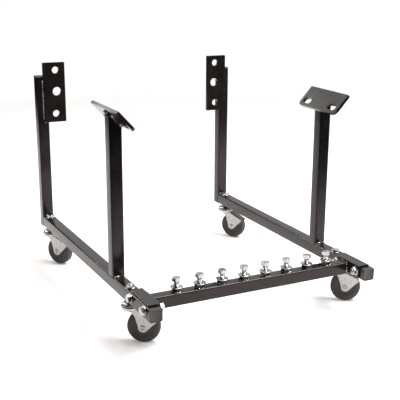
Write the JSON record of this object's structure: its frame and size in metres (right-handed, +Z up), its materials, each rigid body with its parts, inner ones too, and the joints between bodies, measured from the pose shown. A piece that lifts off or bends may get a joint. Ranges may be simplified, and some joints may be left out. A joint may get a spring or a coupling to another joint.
{
  "type": "engine stand",
  "caption": "Low engine cradle on swivel casters: square tube side frames with drilled rear plates and sloping slotted mount plates, joined by a crossbar that stores bolts.",
  "frame": {"origin": "on the floor, under the middle of the bounding box; the frame's mirror plane lies 15.2 mm to the -X side, because every caster trails towards +X at rest", "axes": "+Z up, +Y from the crossbar end to the rear plates, +X to the right seen from the crossbar end"},
  "size_m": [0.5446, 0.6664, 0.4735],
  "materials": {
    "black_paint": "gloss black paint over welded steel tube and plate",
    "black_plastic": "moulded satin plastic",
    "chrome_hardware": "bright plated fasteners and ball races",
    "zinc_fork": "zinc plated stamped steel",
    "black_rubber": "moulded solid rubber"
  },
  "bodies": {
    "frame": {"crossbar": "black_paint", "stored_bolt_1": "chrome_hardware", "stored_bolt_2": "chrome_hardware", "stored_bolt_3": "chrome_hardware", "stored_bolt_4": "chrome_hardware", "stored_bolt_5": "chrome_hardware", "stored_bolt_6": "chrome_hardware", "stored_bolt_7": "chrome_hardware", "stored_bolt_8": "chrome_hardware", "stored_washer_1": "chrome_hardware", "stored_washer_2": "chrome_hardware", "stored_washer_3": "chrome_hardware", "stored_washer_4": "chrome_hardware", "stored_washer_5": "chrome_hardware", "stored_washer_6": "chrome_hardware", "stored_washer_7": "chrome_hardware", "stored_washer_8": "chrome_hardware", "rail_left": "black_paint", "rear_post_left": "black_paint", "front_post_left": "black_paint", "rear_plate_left": "black_paint", "mount_plate_left": "black_paint", "rail_plug_left": "black_plastic", "post_cap_left": "black_plastic", "post_foot_left": "black_plastic", "bracket_left": "black_paint", "clamp_bolt_front_left": "chrome_hardware", "clamp_nut_front_left": "chrome_hardware", "clamp_bolt_rear_left": "chrome_hardware", "clamp_nut_rear_left": "chrome_hardware", "caster_stem_front_left": "chrome_hardware", "stem_nut_front_left": "chrome_hardware", "caster_stem_rear_left": "chrome_hardware", "stem_nut_rear_left": "chrome_hardware", "rail_right": "black_paint", "rear_post_right": "black_paint", "front_post_right": "black_paint", "rear_plate_right": "black_paint", "mount_plate_right": "black_paint", "rail_plug_right": "black_plastic", "post_cap_right": "black_plastic", "post_foot_right": "black_plastic", "bracket_right": "black_paint", "clamp_bolt_front_right": "chrome_hardware", "clamp_nut_front_right": "chrome_hardware", "clamp_bolt_rear_right": "chrome_hardware", "clamp_nut_rear_right": "chrome_hardware", "caster_stem_front_right": "chrome_hardware", "stem_nut_front_right": "chrome_hardware", "caster_stem_rear_right": "chrome_hardware", "stem_nut_rear_right": "chrome_hardware"},
    "swivel_front_left": {"caster_fork_front_left": "zinc_fork"},
    "wheel_front_left": {"caster_wheel_front_left": "black_rubber"},
    "swivel_front_right": {"caster_fork_front_right": "zinc_fork"},
    "wheel_front_right": {"caster_wheel_front_right": "black_rubber"},
    "swivel_rear_left": {"caster_fork_rear_left": "zinc_fork"},
    "wheel_rear_left": {"caster_wheel_rear_left": "black_rubber"},
    "swivel_rear_right": {"caster_fork_rear_right": "zinc_fork"},
    "wheel_rear_right": {"caster_wheel_rear_right": "black_rubber"}
  },
  "joints": [
    {"name": "swivel_front_left", "type": "hinge", "parent": "frame", "child": "swivel_front_left", "pos_m": [-0.2515, -0.2132, 0.07], "axis": [0, 0, 1], "continuous": true},
    {"name": "roll_front_left", "type": "hinge", "parent": "swivel_front_left", "child": "wheel_front_left", "pos_m": [-0.23102, -0.22754, 0.0325], "axis": [0.5736, 0.8192, 0], "continuous": true},
    {"name": "swivel_front_right", "type": "hinge", "parent": "frame", "child": "swivel_front_right", "pos_m": [0.2211, -0.2132, 0.07], "axis": [0, 0, 1], "continuous": true},
    {"name": "roll_front_right", "type": "hinge", "parent": "swivel_front_right", "child": "wheel_front_right", "pos_m": [0.24158, -0.22754, 0.0325], "axis": [0.5736, 0.8192, 0], "continuous": true},
    {"name": "swivel_rear_left", "type": "hinge", "parent": "frame", "child": "swivel_rear_left", "pos_m": [-0.2515, 0.2888, 0.07], "axis": [0, 0, 1], "continuous": true},
    {"name": "roll_rear_left", "type": "hinge", "parent": "swivel_rear_left", "child": "wheel_rear_left", "pos_m": [-0.23825, 0.2676, 0.0325], "axis": [0.848, 0.5299, 0], "continuous": true},
    {"name": "swivel_rear_right", "type": "hinge", "parent": "frame", "child": "swivel_rear_right", "pos_m": [0.2211, 0.2888, 0.07], "axis": [0, 0, 1], "continuous": true},
    {"name": "roll_rear_right", "type": "hinge", "parent": "swivel_rear_right", "child": "wheel_rear_right", "pos_m": [0.23435, 0.2676, 0.0325], "axis": [0.848, 0.5299, 0], "continuous": true}
  ]
}
